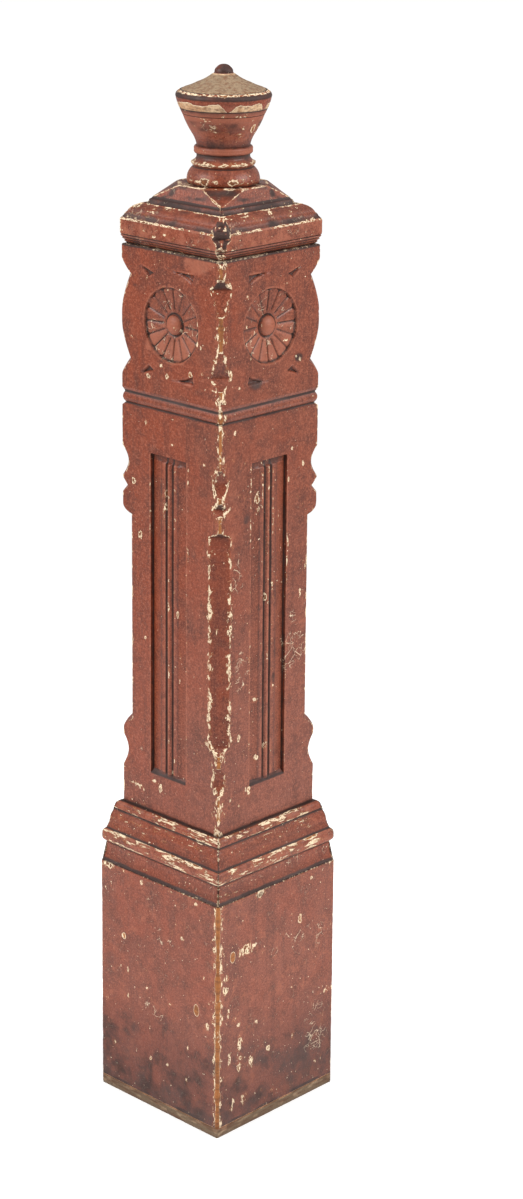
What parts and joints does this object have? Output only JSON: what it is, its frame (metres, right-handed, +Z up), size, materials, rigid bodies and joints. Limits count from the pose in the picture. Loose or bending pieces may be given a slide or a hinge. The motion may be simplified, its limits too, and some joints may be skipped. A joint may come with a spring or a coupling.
{
  "type": "newel post",
  "caption": "Square painted wooden newel post with a rosette block, reeded panels, a turned finial and a mitred base moulding over a boarded plinth.",
  "frame": {"origin": "centre of the underside, at floor level", "axes": "+Z up along the post; the worn corner that the picture shows in front is at +X and -Y"},
  "size_m": [0.206, 0.206, 1.293],
  "materials": {
    "shaft_paint": "old red-brown paint, worn satin",
    "cap_paint": "old red-brown paint, worn satin",
    "finial_paint": "old red-brown paint over bare weathered wood",
    "moulding_paint": "old red-brown paint, worn through on the edges",
    "plinth_paint": "old red-brown paint, worn satin"
  },
  "bodies": {
    "root": {"shaft": "shaft_paint", "cap": "cap_paint", "finial": "finial_paint", "base_moulding_front": "moulding_paint", "base_moulding_right": "moulding_paint", "base_moulding_back": "moulding_paint", "base_moulding_left": "moulding_paint", "plinth_board_front": "plinth_paint", "plinth_board_right": "plinth_paint", "plinth_board_back": "plinth_paint", "plinth_board_left": "plinth_paint"}
  },
  "joints": []
}
